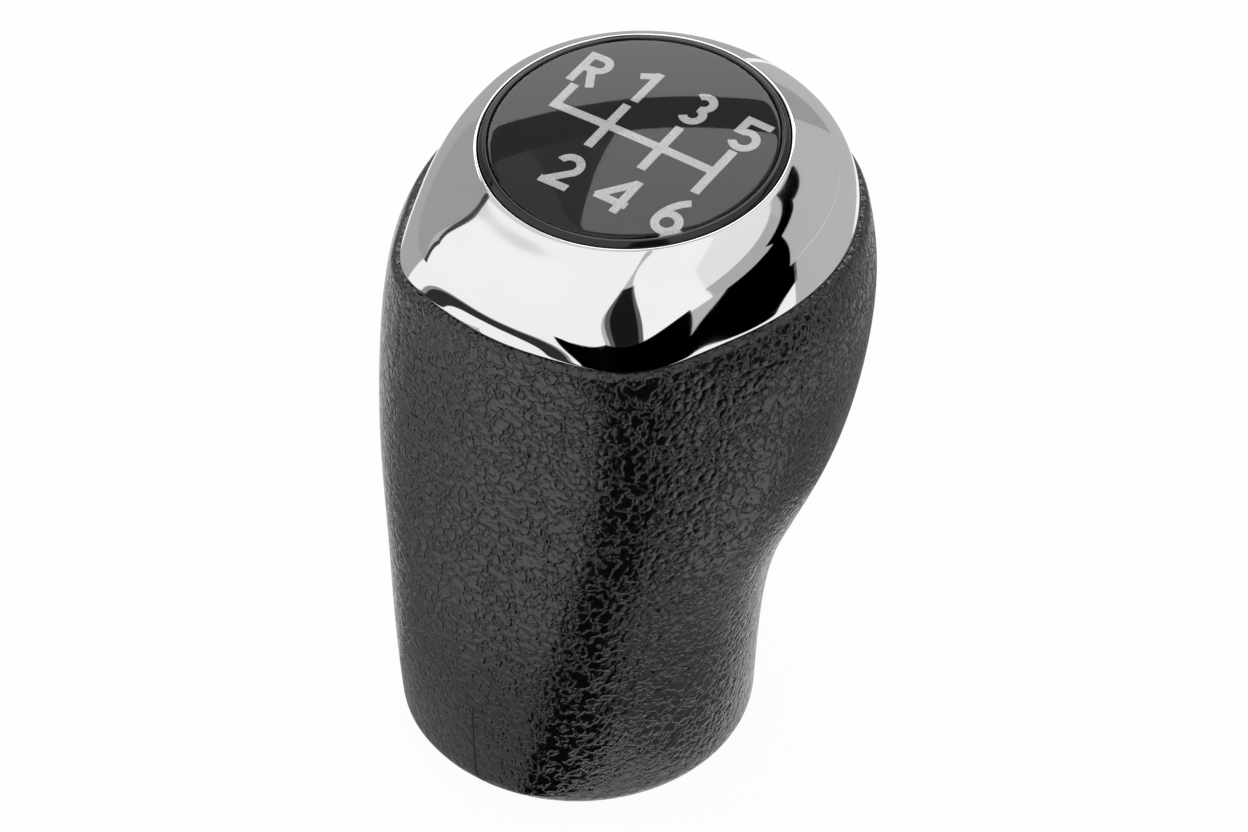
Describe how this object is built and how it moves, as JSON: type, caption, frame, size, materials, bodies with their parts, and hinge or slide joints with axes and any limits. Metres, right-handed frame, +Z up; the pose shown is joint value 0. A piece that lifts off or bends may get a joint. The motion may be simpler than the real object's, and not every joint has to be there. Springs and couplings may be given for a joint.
{
  "type": "gear shift knob",
  "caption": "Tall gear shift knob with a grained black grip that swells towards the front, a plated bezel and a domed black badge with a shift pattern.",
  "frame": {"origin": "middle of the foot's underside, on the axis of the lever", "axes": "+Z up along the lever, +Y to the front of the car, +X to the car's right"},
  "size_m": [0.057, 0.0613, 0.0783],
  "materials": {
    "grained_skin": "fine pebbled grain, semi-matt",
    "core_plastic": "moulded, matt",
    "insert_brass": "turned from hexagonal bar",
    "bush_rubber": "matt",
    "cap_plastic": "moulded, matt",
    "bright_plating": "polished bright plating",
    "screw_steel": "zinc plated",
    "adhesive": "soft foam tape",
    "gloss_black": "high gloss",
    "foil_black": "gloss",
    "print_grey": "screen printed, faintly grained",
    "clear_resin": "clear cast dome"
  },
  "bodies": {
    "root": {"grip_cover": "grained_skin", "grip_core": "core_plastic", "lever_insert": "insert_brass", "lever_bush": "bush_rubber", "base_cap": "cap_plastic", "chrome_bezel": "bright_plating", "bezel_screws": "screw_steel", "badge_tape": "adhesive", "badge_plate": "gloss_black", "badge_foil": "foil_black", "shift_print": "print_grey", "dome_lens": "clear_resin"}
  },
  "joints": []
}
